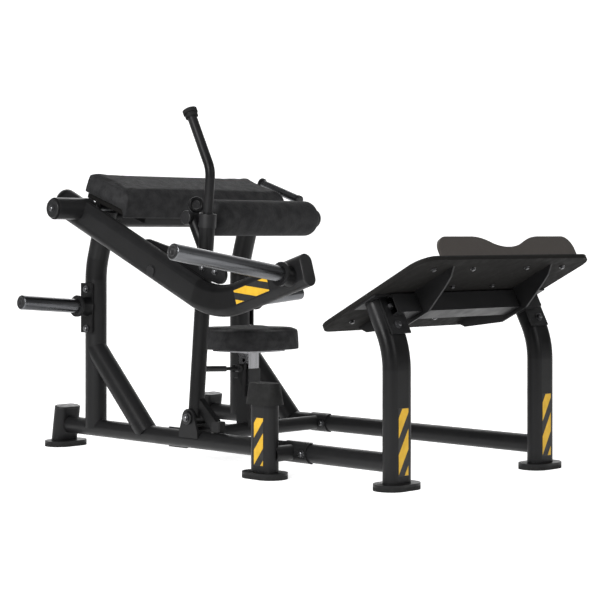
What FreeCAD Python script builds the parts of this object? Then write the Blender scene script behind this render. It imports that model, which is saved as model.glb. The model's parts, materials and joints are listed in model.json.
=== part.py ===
import FreeCAD, Part
import math
import os
import re

import Sketcher
from FreeCAD import Placement, Rotation, Vector

# Plate-loaded hip thrust machine, millimetres.
# Origin: centre of the four floor anchors, on the floor. +X runs from the back pad towards
# the foot plate, +Y runs across the machine away from the weight lever, +Z is up.

SIZES = [
    # base frame
    ("foot_station", 806.0, "rear foot and front leg, along X from the origin"),
    ("rail_side", 351.5, "side rails, uprights and legs, along Y from the origin"),
    ("rail_height", 77.0, "rail centre line above the floor"),
    ("rail_radius", 30.0, "side rail outer radius"),
    ("upright_radius", 38.0, "upright and brace outer radius"),
    ("tube_wall", 3.0, "wall of every steel tube"),
    ("oval_length", 102.0, "flat-oval tube, long side"),
    ("oval_width", 54.0, "flat-oval tube, short side"),
    ("upright_station", -631.0, "upright centre line along X"),
    ("upright_straight", 523.0, "upright length from the rail centre to its bend"),
    ("upright_bend_radius", 300.0, "bend radius of the upright"),
    ("upright_lean", 17.0, "lean of the upright's top, degrees"),
    ("upright_top_run", 172.0, "upright length above its bend"),
    ("brace_top", 362.0, "height where the brace meets the upright"),
    ("brace_foot", -345.0, "where the brace meets the rail, along X"),
    ("cross_radius", 25.0, "seat cross tube and bumper stub outer radius"),
    ("saddle_thickness", 4.0, "saddle clamp on a rail"),
    ("saddle_length", 90.0, "saddle clamp along the rail"),
    # feet
    ("pad_thickness", 12.0, "rubber foot pad"),
    ("foot_plate_thickness", 8.0, "steel foot plate"),
    ("foot_length", 162.0, "foot plate, long side"),
    ("foot_width", 108.0, "foot plate, short side"),
    ("anchor_radius", 5.5, "floor anchor hole"),
    ("anchor_offset", 65.0, "anchor hole from the foot's centre"),
    ("rear_stub_top", 140.0, "top of the rear foot stub's tube"),
    ("rear_stub_lean", 9.0, "lean of the rear foot stub, degrees"),
    ("end_cap_thickness", 7.0, "plastic cap on an open tube end"),
    # front legs and foot plate
    ("leg_knee", 420.0, "height of the corner in the front leg's centre line"),
    ("leg_bend_radius", 260.0, "bend radius of the front leg"),
    ("board_tilt", 27.3, "tilt of the foot plate and of the leg's upper run, degrees"),
    ("leg_upper", 176.8, "leg corner to the foot plate's tread, along the leg"),
    ("board_low", 222.0, "foot plate below the legs, along its slope"),
    ("board_high", 274.0, "foot plate above the legs, along its slope"),
    ("board_half_width", 420.0, "foot plate half width"),
    ("board_corner", 62.0, "foot plate corner radius"),
    ("board_thickness", 10.0, "foot plate board"),
    ("tread_thickness", 4.0, "rubber tread on the board"),
    ("leg_flange_thickness", 6.0, "flange between leg and board"),
    ("fence_half_width", 331.0, "toe fence half width"),
    ("fence_height", 64.0, "toe fence height at its two humps"),
    ("fence_dip", 28.0, "toe fence height in the middle"),
    ("fence_thickness", 10.0, "toe fence plate"),
    ("fence_corner", 46.0, "toe fence outer corner radius"),
    ("cross_member_side", 60.0, "square cross member under the board"),
    ("rib_side", 240.0, "board ribs along Y from the middle"),
    ("rib_thickness", 8.0, "board rib plate"),
    # bumper post
    ("bumper_station", 342.0, "bumper post along X"),
    ("bumper_side", -454.0, "bumper post along Y"),
    ("bumper_post_top", 262.0, "top of the bumper post's tube"),
    ("bumper_top", 299.0, "top of the rubber bumper"),
    ("bumper_skirt", 232.0, "lower edge of the rubber bumper"),
    ("stub_station", 378.0, "bumper stub tube along X"),
    # seat
    ("seat_station", -210.0, "seat centre along X"),
    ("seat_tube_side", 62.0, "seat base tube, outside"),
    ("seat_tube_top", 236.0, "top of the seat base tube"),
    ("sleeve_top", 292.0, "top of the plastic guide sleeve"),
    ("post_side", 50.0, "chrome seat post, outside"),
    ("post_clearance", 0.1, "running gap between post and sleeve"),
    ("seat_side", 304.0, "seat cushion side"),
    ("seat_corner", 84.0, "seat cushion corner radius"),
    ("seat_bottom", 358.0, "underside of the seat cushion"),
    ("seat_top", 436.0, "top of the seat cushion"),
    # back pad
    ("pad_half_width", 387.0, "back pad half width"),
    ("pad_side", -32.0, "back pad centre along Y"),
    ("grip_side", 442.0, "grip bar along Y"),
    ("pad_tilt", 18.2, "fall of the back pad's top towards +X, degrees"),
    ("pad_rear", -598.0, "rear edge of the back pad's top along X"),
    ("pad_rear_top", 986.0, "height of the rear edge of the back pad's top"),
    ("pad_depth", 244.0, "back pad depth along its slope"),
    ("pad_cushion_thickness", 74.0, "back pad foam and cover"),
    ("pad_board_thickness", 16.0, "plywood base of the back pad"),
    # lever pivot
    ("pivot_station", -575.0, "main pivot along X"),
    ("pivot_height", 855.0, "main pivot above the floor"),
    ("pivot_radius", 15.0, "main pivot shaft"),
    ("pivot_boss_radius", 26.0, "boss through each upright at the main pivot"),
    ("top_tube_station", -582.6, "top cross tube along X"),
    ("top_tube_height", 830.0, "top cross tube above the floor"),
    ("bearing_radius", 30.0, "bearing outer radius"),
    ("bearing_width", 16.0, "bearing width"),
    ("hub_radius", 38.0, "lever hub outer radius"),
    ("hub_outer", -580.0, "outer end of the lever hub along Y"),
    ("hub_inner", -426.0, "inner end of the lever hub along Y"),
    ("cap_radius", 33.0, "black cap over a pivot"),
    ("running_gap", 0.05, "radial gap of a running fit"),
    # weight lever
    ("lever_side", -454.0, "weight lever centre plane along Y"),
    ("lever_depth", 104.0, "lever tube, long side"),
    ("lever_width", 52.0, "lever tube, short side"),
    ("lever_fall", 23.3, "fall of the lever's long run, degrees"),
    ("lever_rise", 17.2, "rise of the lever's short run, degrees"),
    ("lever_bend_radius", 300.0, "bend radius of the lever"),
    ("lever_long_run", 662.0, "lever from the main pivot to its bend"),
    ("lever_short_run", 308.0, "lever from its bend to the front end"),
    ("lever_tail", 90.0, "lever behind the main pivot"),
    ("lever_drop", 18.6, "lever centre line below the main pivot"),
    # load horn and storage horns
    ("horn_radius", 25.0, "sleeve that takes the weight plates"),
    ("horn_length", 440.0, "load horn from its collar to the tip"),
    ("horn_rise", 9.3, "rise of the load horn towards its tip, degrees"),
    ("horn_station", 477.0, "load horn root along X"),
    ("horn_root_height", 638.0, "load horn root above the floor"),
    ("horn_collar_radius", 38.0, "stop collar at a horn's root"),
    ("horn_cone_length", 40.0, "tapered boss between a horn's root and its collar"),
    ("horn_collar_thickness", 9.0, "stop collar along the horn"),
    ("storage_height", 509.0, "storage horn root above the floor"),
    ("storage_rise", 4.6, "rise of a storage horn, degrees"),
    ("storage_length", 240.0, "storage horn from its collar to the tip"),
    # roller carriage on the lever
    ("roller_station", -113.0, "roller axis along X"),
    ("roller_height", 822.0, "roller axis above the floor"),
    ("roller_radius", 63.0, "roller cushion"),
    ("roller_near", -286.0, "near end of the roller cushion along Y"),
    ("roller_far", 207.0, "far end of the roller cushion along Y"),
    ("roller_core_radius", 24.0, "roller core tube"),
    ("roller_shaft_radius", 15.0, "roller shaft"),
    ("carriage_radius", 26.0, "carriage post and prop outer radius"),
    ("carriage_lean", 5.1, "lean of the carriage post and the prop, degrees"),
    ("carriage_foot", 651.0, "lower end of the carriage post, above the floor"),
    ("carriage_top", 788.0, "upper end of the carriage post, above the floor"),
    ("plate_thickness", 11.5, "carriage plate"),
    ("plate_width", 60.0, "carriage plate, across"),
    ("plate_span", 370.0, "carriage plate between its end centres"),
    ("plate_fall", 13.4, "fall of the carriage plate towards +X, degrees"),
    ("strut_radius", 21.0, "strut from the carriage post to the roller boss"),
    ("boss_radius", 18.0, "roller boss"),
    ("handle_radius", 16.5, "handle tube outer radius"),
    ("handle_straight", 120.0, "handle above the collar up to its bend"),
    ("handle_turn", 32.4, "bend of the handle back towards the user, degrees"),
    ("handle_bend_radius", 90.0, "bend radius of the handle"),
    ("handle_top_run", 196.0, "handle beyond its bend"),
    # prop
    ("prop_station", -98.0, "prop pivot along X"),
    ("prop_height", 152.0, "prop pivot above the floor"),
    ("prop_length", 488.0, "prop pivot to the end of the prop tube"),
    ("prop_pad_thickness", 8.0, "rubber rest pad on the prop"),
    ("prop_swing", 28.0, "swing of the prop back from its foot's rest, degrees"),
    ("prop_pin_radius", 10.0, "prop pivot pin"),
    ("lever_pin_radius", 5.0, "pin of the seat adjusting lever"),
]

doc = FreeCAD.newDocument("HipThrust")
sheet = doc.addObject("Spreadsheet::Sheet", "Sizes")
for row, (alias, number, meaning) in enumerate(SIZES, start=1):
    sheet.set("A%d" % row, meaning)
    sheet.set("B%d" % row, str(number))
    sheet.setAlias("B%d" % row, alias)
doc.recompute()
ALIASES = {alias for alias, number, meaning in SIZES}
nodes = {}


class Dimensions:
    """Reads a driving dimension from the sheet by its alias."""

    def __getattr__(self, alias):
        return float(sheet.get(alias))


dim = Dimensions()
X_AXIS, Y_AXIS, Z_AXIS = Vector(1, 0, 0), Vector(0, 1, 0), Vector(0, 0, 1)


# ---- helpers: expressions, placements, solids ------------------------------------------


def ref(text):
    """Turns alias names in a formula into references to the sheet."""
    return re.sub(r"[a-z_]+", lambda m: "Sizes." + m[0] if m[0] in ALIASES else m[0], str(text))


def bind(thing, **formulas):
    """Ties an object's properties to formulas over the sheet and refreshes it."""
    for name, formula in formulas.items():
        thing.setExpression(name, ref(formula))
    thing.recompute()
    return thing


def facing(origin, direction, across=None):
    """Placement whose local Z is direction and whose local X is as near as can be to across."""
    direction = Vector(direction).normalize()
    across = Vector(across or (X_AXIS if abs(direction.x) < 0.9 else Z_AXIS))
    side = direction.cross(across).normalize()
    return Placement(Vector(origin), Rotation(side.cross(direction), side, direction, "ZXY"))


def tilted(degrees):
    """Unit vector in the XZ plane, degrees above +X."""
    angle = math.radians(degrees)
    return Vector(math.cos(angle), 0, math.sin(angle))


def node(name, thing):
    """Registers a finished sub-part under its node name."""
    thing.Label = name
    nodes[name] = thing
    return thing


def cylinder(label, radius, height, placement):
    solid = doc.addObject("Part::Cylinder", label)
    bind(solid, Radius=radius, Height=height)
    solid.Placement = placement
    return solid


def cone(label, radius_1, radius_2, height, placement):
    solid = doc.addObject("Part::Cone", label)
    bind(solid, Radius1=radius_1, Radius2=radius_2, Height=height)
    solid.Placement = placement
    return solid


def box(label, length, width, height, placement):
    """Box centred on the placement in local X and Y, rising along local Z."""
    solid = doc.addObject("Part::Box", label)
    bind(solid, Length=length, Width=width, Height=height)
    corner = Vector(-solid.Length.Value / 2, -solid.Width.Value / 2, 0)
    solid.Placement = placement.multiply(Placement(corner, Rotation()))
    return solid


def fuse(label, *parts):
    joined = doc.addObject("Part::MultiFuse", label)
    joined.Shapes = list(parts)
    joined.Refine = True
    joined.recompute()
    return joined


def cut(label, base, *tools):
    """Base with every tool taken away, one after another."""
    for tool in tools:
        step = doc.addObject("Part::Cut", label)
        step.Base, step.Tool = base, tool
        step.recompute()
        base = step
    return base


def group(label, parts):
    """Separate solids that share one node."""
    together = doc.addObject("Part::Compound", label)
    together.Links = list(parts)
    together.recompute()
    return together


def rounded(label, base, radius, wanted):
    """Fillets the edges of base that the test picks."""
    smooth = doc.addObject("Part::Fillet", label)
    smooth.Base = base
    picked = [i for i, edge in enumerate(base.Shape.Edges, start=1) if wanted(edge)]
    smooth.Edges = [(i, radius, radius) for i in picked]
    smooth.recompute()
    return smooth


# ---- helpers: sketched bodies ----------------------------------------------------------


def new_sketch(body, role):
    plane = next(f for f in body.Origin.OriginFeatures if f.Role == role)
    sketch = body.newObject("Sketcher::SketchObject", body.Name + "_" + role)
    sketch.AttachmentSupport = [(plane, "")]
    sketch.MapMode = "FlatFace"
    return sketch


def constrain(sketch, kind, *arguments, formula=None):
    index = sketch.addConstraint(Sketcher.Constraint(kind, *arguments))
    if formula is not None:
        sketch.setExpression("Constraints[%d]" % index, ref(formula))


def draw_circle(sketch, radius):
    here = sketch.GeometryCount
    sketch.addGeometry(Part.Circle(Vector(0, 0, 0), Z_AXIS, 10), False)
    constrain(sketch, "Coincident", here, 3, -1, 1)
    constrain(sketch, "Radius", here, 10.0, formula=radius)


def measure(text):
    """Number that an alias, a sum of aliases or a plain number stands for."""
    words = str(text).split(" + ")
    return sum(getattr(dim, word) if word in ALIASES else float(word) for word in words)


def draw_oval(sketch, length, width, along_y, wall=0):
    """Flat oval about the sketch's origin: two half circles joined by two lines."""
    here = sketch.GeometryCount
    radius = measure(width) / 2 - measure(wall)
    centre = (measure(length) - measure(width)) / 2
    turn = math.pi / 2 if along_y else 0.0
    spin = Rotation(Z_AXIS, math.degrees(turn))
    for side, begin in ((1, -math.pi / 2), (-1, math.pi / 2)):
        middle = spin.multVec(Vector(side * centre, 0, 0))
        circle = Part.Circle(middle, Z_AXIS, radius)
        arc = Part.ArcOfCircle(circle, turn + begin, turn + begin + math.pi)
        line = Part.LineSegment(spin.multVec(Vector(side * centre, side * radius, 0)),
                                spin.multVec(Vector(-side * centre, side * radius, 0)))
        sketch.addGeometry(arc, False)
        sketch.addGeometry(line, False)
    for k in range(4):
        constrain(sketch, "Tangent", here + k, 2, here + (k + 1) % 4, 1)
    constrain(sketch, "Symmetric", here, 3, here + 2, 3, -1, 1)
    constrain(sketch, "Vertical" if along_y else "Horizontal", here + 1)
    constrain(sketch, "Radius", here, radius, formula="(%s) / 2 - (%s)" % (width, wall))
    constrain(sketch, "DistanceY" if along_y else "DistanceX", here + 2, 3, here, 3, 2 * centre,
              formula="(%s) - (%s)" % (length, width))


def draw_outline(sketch, steps):
    """Closed outline: each step is a point, or (point through, point) for an arc."""
    last = steps[-1][1] if isinstance(steps[-1], tuple) else steps[-1]
    for step in steps:
        if isinstance(step, tuple):
            through, here = step
            sketch.addGeometry(Part.Arc(last, through, here), False)
        else:
            here = step
            sketch.addGeometry(Part.LineSegment(last, here), False)
        last = here


def pad(label, draw, length, placement, both_ways=False):
    """Body padded from a sketch that draw() fills."""
    body = doc.addObject("PartDesign::Body", label)
    sketch = new_sketch(body, "XY_Plane")
    draw(sketch)
    feature = body.newObject("PartDesign::Pad", label + "_pad")
    feature.Profile = sketch
    feature.Midplane = both_ways
    feature.setExpression("Length", ref(length))
    body.Placement = placement
    body.recompute(True)
    return body


def ring(radius, wall=None):
    """Section of a round tube, or of a bar when it has no wall."""
    def draw(sketch):
        draw_circle(sketch, radius)
        if wall:
            draw_circle(sketch, "(%s) - (%s)" % (radius, wall))
    return draw


def oval(length, width, along_y=False, wall=None):
    """Section of a flat-oval tube, or of a flat-oval bar when it has no wall."""
    def draw(sketch):
        draw_oval(sketch, length, width, along_y)
        if wall:
            draw_oval(sketch, length, width, along_y, wall)
    return draw


def bent(label, draw, run_1, radius, turn, run_2, placement):
    """Tube along local Z that bends towards local +X and runs on straight."""
    body = doc.addObject("PartDesign::Body", label)
    section = new_sketch(body, "XY_Plane")
    draw(section)
    path = new_sketch(body, "XZ_Plane")
    path.addGeometry(Part.LineSegment(Vector(0, 0, 0), Vector(0, 200, 0)), False)
    angle = math.radians(30)
    circle = Part.Circle(Vector(200, 200, 0), Z_AXIS, 200)
    path.addGeometry(Part.ArcOfCircle(circle, math.pi - angle, math.pi), False)
    bend_end = Vector(200 - 200 * math.cos(angle), 200 + 200 * math.sin(angle), 0)
    onward = Vector(math.sin(angle), math.cos(angle), 0)
    path.addGeometry(Part.LineSegment(bend_end, bend_end + onward * 100), False)
    constrain(path, "Coincident", 0, 1, -1, 1)
    constrain(path, "Vertical", 0)
    constrain(path, "Tangent", 0, 2, 1, 2)
    constrain(path, "Tangent", 1, 1, 2, 1)
    constrain(path, "Angle", 2, math.radians(60), formula="(90 - (%s)) * 1 deg" % turn)
    constrain(path, "Radius", 1, 200.0, formula=radius)
    constrain(path, "Distance", 0, 200.0, formula=run_1)
    constrain(path, "Distance", 2, 100.0, formula=run_2)
    doc.recompute()
    pipe = body.newObject("PartDesign::AdditivePipe", label + "_pipe")
    pipe.Profile = (section, [""])
    pipe.Spine = (path, ["Edge1", "Edge2", "Edge3"])
    body.Placement = placement
    body.recompute(True)
    return body


def hex_bolt(label, radius, height, placement):
    """Washer and hexagon head, standing on a face."""
    washer = cylinder(label + "_washer", "%s * 1.3" % radius, 2, placement)
    head = doc.addObject("Part::Prism", label + "_head")
    head.Polygon = 6
    bind(head, Circumradius=radius, Height=height)
    head.Placement = placement.multiply(Placement(Vector(0, 0, 2), Rotation()))
    dome = cone(label + "_dome", "%s * 0.82" % radius, "%s * 0.6" % radius, "%s * 0.16" % radius,
                placement.multiply(Placement(Vector(0, 0, 2 + height), Rotation())))
    return fuse(label, washer, head, dome)


def on_plane(placement, height):
    """Test for edges that lie in a plane a height above a placement's origin."""
    normal = placement.Rotation.multVec(Z_AXIS)
    point = placement.Base + normal * height

    def lies(edge):
        return all(abs((corner.Point - point).dot(normal)) < 0.01 for corner in edge.Vertexes)
    return lies


pairs = {}


def side_part(pair, thing):
    """Keeps one side's part for the node that holds both sides."""
    pairs.setdefault(pair, []).append(thing)


def both_sides(build):
    """Builds a sub-part on the near side (-Y) and on the far side (+Y)."""
    for name, side in (("near", -1), ("far", 1)):
        build(name, side)


# ---- base frame ------------------------------------------------------------------------

leg_direction = tilted(90 + dim.board_tilt)
board_origin = Vector(dim.foot_station, 0, dim.leg_knee) + leg_direction * dim.leg_upper
board_up = tilted(90 + dim.board_tilt)
board_along = tilted(dim.board_tilt)


def on_board(along, across, above):
    """Point given along the foot plate's slope, across it and above its tread."""
    return board_origin + board_along * along + Y_AXIS * across + board_up * above


def stub_placement(side):
    lean = math.tan(math.radians(dim.rear_stub_lean)) * dim.rail_height
    foot = Vector(-dim.foot_station - lean, side * dim.rail_side, 0)
    return facing(foot, tilted(90 - dim.rear_stub_lean), X_AXIS)


def rail_envelope(side, label):
    start = Vector(-1000, side * dim.rail_side, dim.rail_height)
    return cylinder(label + "_rail_space", "rail_radius", 2000, facing(start, X_AXIS))


def build_side(name, side):
    """Rear foot stub, side rail, upright and brace of one side."""
    stub_solid = pad(name + "_stub_solid", oval("oval_length", "oval_width", True),
                     "rear_stub_top + 20", stub_placement(side))
    rail_start = Vector(-dim.foot_station, side * dim.rail_side, dim.rail_height)
    rail = pad(name + "_rail_tube", ring("rail_radius", "tube_wall"), "2 * foot_station",
               facing(rail_start, X_AXIS))
    leg_foot = Vector(dim.foot_station, side * dim.rail_side, 0)
    leg_solid = pad(name + "_leg_solid", oval("oval_length", "oval_width", True), 200,
                    facing(leg_foot, Z_AXIS, X_AXIS))
    node(name + "_rail", cut(name + "_rail", rail, stub_solid, leg_solid))

    stub = pad(name + "_stub_tube", oval("oval_length", "oval_width", True, "tube_wall"),
               "rear_stub_top", stub_placement(side))
    plate_top = dim.pad_thickness + dim.foot_plate_thickness
    below = box(name + "_stub_trim", 400, 200, 50, facing(Vector(-dim.foot_station,
                side * dim.rail_side, plate_top - 50), Z_AXIS))
    side_part("rear_stubs", cut(name + "_rear_stub", stub, below))

    upright_foot = Vector(dim.upright_station, side * dim.rail_side, dim.rail_height)
    upright = bent(name + "_upright_tube", ring("upright_radius", "tube_wall"),
                   "upright_straight", "upright_bend_radius", "upright_lean",
                   "upright_top_run", facing(upright_foot, Z_AXIS, X_AXIS))
    rail_space = rail_envelope(side, name + "_upright")
    under = box(name + "_upright_trim", 400, 200, 120,
                facing(upright_foot - Z_AXIS * 123, Z_AXIS))
    pivot_space = cylinder(name + "_pivot_space", "pivot_boss_radius", 200,
                           facing(Vector(dim.pivot_station, side * dim.rail_side - 100,
                                         dim.pivot_height), Y_AXIS))
    side_part("uprights", cut(name + "_upright", upright, rail_space, under, pivot_space))

    top = Vector(dim.upright_station, side * dim.rail_side, dim.brace_top)
    foot = Vector(dim.brace_foot, side * dim.rail_side, dim.rail_height)
    brace = pad(name + "_brace_tube", ring("upright_radius", "tube_wall"), (foot - top).Length,
                facing(top, foot - top, X_AXIS))
    upright_space = cylinder(name + "_upright_space", "upright_radius", 900,
                             facing(upright_foot, Z_AXIS))
    below = box(name + "_brace_trim", 400, 200, 120, facing(foot - Z_AXIS * 120, Z_AXIS))
    side_part("braces", cut(name + "_brace", brace, upright_space,
                            rail_envelope(side, name + "_brace"), below))


both_sides(build_side)
for pair in ("rear_stubs", "uprights", "braces"):
    node(pair, group(pair, pairs[pair]))

stub_caps = []
for side in (-1, 1):
    seat = stub_placement(side)
    seat.move(tilted(90 - dim.rear_stub_lean) * dim.rear_stub_top)
    blank = pad("stub_cap_blank", oval("oval_length", "oval_width", True),
                "end_cap_thickness", seat)
    stub_caps.append(rounded("stub_cap", blank, 4.0, on_plane(seat, dim.end_cap_thickness)))
node("rear_stub_caps", group("rear_stub_caps", stub_caps))

top_start = Vector(dim.top_tube_station, -dim.rail_side, dim.top_tube_height)
top_tube = pad("top_cross_blank", ring("hub_radius", "tube_wall"), "2 * rail_side",
               facing(top_start, Y_AXIS))
top_spaces = []
pivot_bosses = []
lean = tilted(90 - dim.upright_lean)
bend_end = Vector(dim.upright_station + dim.upright_bend_radius * (1 - lean.z), 0,
                  dim.rail_height + dim.upright_straight + dim.upright_bend_radius * lean.x)
for side in (-1, 1):
    centre = Vector(dim.pivot_station, side * dim.rail_side, dim.pivot_height)
    top_spaces.append(cylinder("upright_space", "upright_radius", 400,
                               facing(bend_end + Y_AXIS * side * dim.rail_side, lean)))
    boss_start = centre - Y_AXIS * dim.upright_radius
    pivot_bosses.append(cylinder("pivot_boss", "pivot_boss_radius", "2 * upright_radius",
                                 facing(boss_start, Y_AXIS)))
coped_tube = cut("top_cross_coped", top_tube, *top_spaces, *pivot_bosses)
node("top_cross_tube", fuse("top_cross_tube", coped_tube, pivot_bosses[1]))


# ---- feet ------------------------------------------------------------------------------

FEET = [(station * dim.foot_station, side * dim.rail_side, True, side)
        for station in (-1, 1) for side in (-1, 1)]
FEET.append((dim.bumper_station, dim.bumper_side, False, 1))


def feet(label, thickness, height):
    """One obround plate with an anchor hole under each of the five feet."""
    plates = []
    for x, y, along_y, outward in FEET:
        place = facing(Vector(x, y, height), Z_AXIS, X_AXIS)
        plate = pad(label + "_blank", oval("foot_length", "foot_width", along_y), thickness,
                    place)
        offset = Vector(0, outward, 0) if along_y else Vector(outward, 0, 0)
        hole = cylinder(label + "_hole", "anchor_radius", 40,
                        facing(Vector(x, y, height - 10) + offset * dim.anchor_offset, Z_AXIS))
        plates.append(cut(label + "_foot", plate, hole))
    return group(label, plates)


node("foot_pads", feet("foot_pads", "pad_thickness", 0.0))
node("foot_plates", feet("foot_plates", "foot_plate_thickness", dim.pad_thickness))
foot_top = dim.pad_thickness + dim.foot_plate_thickness


# ---- front legs and foot plate ---------------------------------------------------------

knee_tangent = dim.leg_bend_radius * math.tan(math.radians(dim.board_tilt / 2))
under_board = dim.board_thickness + dim.tread_thickness
flange_face = -under_board - dim.leg_flange_thickness


def leg_placement(side):
    """The leg bends towards -X, so its local X points there."""
    return facing(Vector(dim.foot_station, side * dim.rail_side, foot_top), Z_AXIS, -X_AXIS)


def leg_body(label, wall, side):
    lower = "leg_knee - pad_thickness - foot_plate_thickness - %r" % knee_tangent
    upper = "leg_upper - board_thickness - tread_thickness - leg_flange_thickness - %r"
    return bent(label, oval("oval_length", "oval_width", True, wall), lower,
                "leg_bend_radius", "board_tilt", upper % knee_tangent, leg_placement(side))


def build_leg(name, side):
    side_part("front_legs", leg_body(name + "_front_leg", "tube_wall", side))


both_sides(build_leg)
node("front_legs", group("front_legs", pairs["front_legs"]))

board_frame = facing(board_origin, board_up, board_along)


def board_place(along, across, above):
    """Placement on the board: local X up the slope, local Z away from the tread."""
    place = board_frame.copy()
    place.Base = on_board(along, across, above)
    return place


member_centre = dim.cross_member_side / 2 - 2
member_top = -under_board - 6.0
member_start = on_board(member_centre, -dim.rail_side, member_top - dim.cross_member_side / 2)


def square_ring(side, wall):
    """Section of a square tube."""
    def draw(sketch):
        for inset in (0.0, wall):
            half = side / 2 - inset
            corners = [Vector(-half, -half, 0), Vector(half, -half, 0),
                       Vector(half, half, 0), Vector(-half, half, 0)]
            draw_outline(sketch, corners)
    return draw


member = pad("cross_member_tube", square_ring(dim.cross_member_side, dim.tube_wall),
             "2 * rail_side", facing(member_start, Y_AXIS, board_along))
leg_spaces = [leg_body("leg_space", None, side) for side in (-1, 1)]
node("board_cross_member", cut("board_cross_member", member, *leg_spaces))


def rib_outline(sketch):
    """Side view of a rib: up the slope along X, away from the tread along -Y."""
    low, high, deep = -205.0, 232.0, member_top - dim.cross_member_side - 12.0
    draw_outline(sketch, [Vector(low, -under_board, 0), Vector(low + 24, -40, 0),
                          Vector(-34, deep, 0), Vector(78, deep, 0), Vector(168, -56, 0),
                          Vector(206, -38, 0), Vector(high, -under_board, 0)])


member_space = box("cross_member_space", "cross_member_side", "2 * rail_side",
                   "cross_member_side",
                   board_place(member_centre, 0, member_top - dim.cross_member_side))
ribs = []
for side in (-1, 1):
    place = facing(on_board(0, side * dim.rib_side, 0), -Y_AXIS, board_along)
    rib = pad("board_rib_blank", rib_outline, "rib_thickness", place, both_ways=True)
    ribs.append(cut("board_rib", rib, member_space))
node("board_ribs", group("board_ribs", ribs))

brackets = []
for side in (-1, 1):
    flange = box("leg_flange_top", 96, 128, "leg_flange_thickness",
                 board_place(0, side * dim.rail_side, flange_face))
    reach = 118.0
    face = dim.oval_width / 2
    strap = box("leg_flange_strap", 6, 84, reach,
                board_place(face + 3, side * (dim.rail_side - 12), flange_face - reach))
    brackets.append(cut("leg_bracket", fuse("leg_bracket_weld", flange, strap), member_space,
                        *leg_spaces))
node("leg_brackets", group("leg_brackets", brackets))


def board_corners(label, base, placement):
    """Rounds the four upright corners of a plate that lies on the slope."""
    normal = placement.Rotation.multVec(Z_AXIS)

    def upright(edge):
        ends = [corner.Point for corner in edge.Vertexes]
        return abs((ends[1] - ends[0]).normalize().dot(normal)) > 0.99
    return rounded(label, base, dim.board_corner, upright)


board_middle = (dim.board_high - dim.board_low) / 2
for name, thickness, above in (("foot_board", "board_thickness", -under_board),
                               ("board_tread", "tread_thickness", -dim.tread_thickness)):
    place = board_place(board_middle, 0, above)
    blank = box(name + "_blank", "board_low + board_high", "2 * board_half_width", thickness,
                place)
    node(name, board_corners(name, blank, place))


def fence_outline(sketch):
    """Two humps with a dip between them, drawn across the board."""
    half, height, dip = dim.fence_half_width, dim.fence_height, dim.fence_dip
    corner, flat = dim.fence_corner, 165.0
    slant = (height - dip) / 2
    crest = math.sin(math.pi / 4)

    def wave(side):
        radius = (flat ** 2 + (height - dip) ** 2) / (4 * (height - dip))
        half_angle = math.asin(flat / 2 / radius) / 2
        high = Vector(side * (flat - radius * math.sin(half_angle)),
                      height - radius + radius * math.cos(half_angle), 0)
        low = Vector(side * radius * math.sin(half_angle),
                     dip + radius - radius * math.cos(half_angle), 0)
        return high, Vector(side * flat / 2, dip + slant, 0), low

    near_high, near_mid, near_low = wave(-1)
    far_high, far_mid, far_low = wave(1)
    draw_outline(sketch, [
        Vector(-half, 0, 0), Vector(-half, height - corner, 0),
        (Vector(-half + corner * (1 - crest), height - corner * (1 - crest), 0),
         Vector(-half + corner, height, 0)),
        Vector(-flat, height, 0), (near_high, near_mid), (near_low, Vector(0, dip, 0)),
        (far_low, far_mid), (far_high, Vector(flat, height, 0)),
        Vector(half - corner, height, 0),
        (Vector(half - corner * (1 - crest), height - corner * (1 - crest), 0),
         Vector(half, height - corner, 0)),
        Vector(half, 0, 0)])


fence_place = Placement(on_board(dim.board_high - dim.fence_thickness, 0, 0),
                        Rotation(Y_AXIS, board_up, board_along, "ZXY"))
node("toe_fence", pad("toe_fence", fence_outline, "fence_thickness", fence_place))

frame_bolts = []
board_bolt_spots = [(213, across) for across in (-316, -132, 132, 316)]
board_bolt_spots += [(-147, -330), (-147, 62), (-147, -62), (-147, 330), (88, 98), (88, -98)]
for along, across in board_bolt_spots:
    place = facing(on_board(along, across, -under_board), -board_up, board_along)
    frame_bolts.append(hex_bolt("board_bolt", 7.0, 5, place))
for side in (-1, 1):
    for above in (-48.0, -110.0):
        place = facing(on_board(dim.oval_width / 2 + 6, side * (dim.rail_side - 6), above),
                       board_along, board_up)
        frame_bolts.append(hex_bolt("leg_bolt", 10.0, 7, place))


# ---- bumper post -----------------------------------------------------------------------

bumper_foot = Vector(dim.bumper_station, dim.bumper_side, foot_top)
post_tube = pad("bumper_post_tube", oval("oval_length", "oval_width", False, "tube_wall"),
                "bumper_post_top - pad_thickness - foot_plate_thickness",
                facing(bumper_foot, Z_AXIS, X_AXIS))
post_space = pad("bumper_post_space", oval("oval_length", "oval_width"), 400,
                 facing(bumper_foot, Z_AXIS, X_AXIS))
stub_start = Vector(dim.stub_station, dim.bumper_side, dim.rail_height)
stub_tube = pad("bumper_stub_tube", ring("cross_radius", "tube_wall"),
                "rail_side * -1 - bumper_side", facing(stub_start, Y_AXIS))


def saddle(label, station, side, length):
    """Half sleeve that hugs the side of a rail that faces side."""
    start = Vector(station - length / 2, side[0] * dim.rail_side, dim.rail_height)
    sleeve = pad(label + "_sleeve", ring("rail_radius + saddle_thickness", "saddle_thickness"),
                 length, facing(start, X_AXIS))
    half = box(label + "_half", length + 20, 100, 100,
               facing(start + Vector(length / 2, side[1] * -50, -50), Z_AXIS, X_AXIS))
    return cut(label, sleeve, half)


seat_cross = dim.seat_station + 8
saddles = [saddle("bumper_saddle", dim.stub_station + 20, (-1, -1), dim.saddle_length + 20),
           saddle("near_seat_saddle", seat_cross + 12, (-1, 1), dim.saddle_length),
           saddle("far_seat_saddle", seat_cross + 12, (1, -1), dim.saddle_length)]
node("rail_saddles", group("rail_saddles", saddles))

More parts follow.
